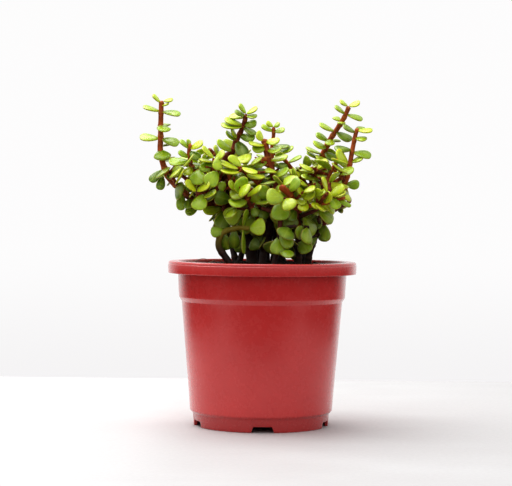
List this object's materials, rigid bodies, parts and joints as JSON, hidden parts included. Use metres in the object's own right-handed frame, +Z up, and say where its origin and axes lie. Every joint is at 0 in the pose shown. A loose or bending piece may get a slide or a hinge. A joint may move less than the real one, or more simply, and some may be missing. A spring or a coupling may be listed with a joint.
{
  "type": "potted jade plant",
  "caption": "Small-leaved jade bush with upright red-brown shoots, rooted in soil in a round tapered plastic nursery pot with a rolled rim.",
  "frame": {"origin": "middle of the base of the whole plant and pot, on the surface the pot stands on; the pot's axis passes 6 mm to the right of it and 6 mm in front", "axes": "+Z up, -Y towards the viewer of the picture, +X to the viewer's right"},
  "size_m": [0.1822, 0.1614, 0.2602],
  "materials": {
    "pot_plastic": "moulded, satin to glossy, with a brighter lip",
    "potting_soil": "dark, loose and rough, with pale root hairs",
    "jade_foliage": "smooth waxy yellow-green leaves on matt red-brown stems"
  },
  "bodies": {
    "root": {"pot": "pot_plastic", "soil": "potting_soil", "leafy_stem_left": "jade_foliage", "curled_twig": "jade_foliage", "leafy_stem_centre": "jade_foliage", "leafy_stem_centre_back": "jade_foliage", "leafy_stem_front": "jade_foliage", "leafy_stem_front_right": "jade_foliage", "leafy_stem_right": "jade_foliage", "leafy_stem_far_right": "jade_foliage", "leafy_stem_back_left": "jade_foliage", "leafy_stem_back": "jade_foliage", "leafy_stem_back_right": "jade_foliage"}
  },
  "joints": []
}
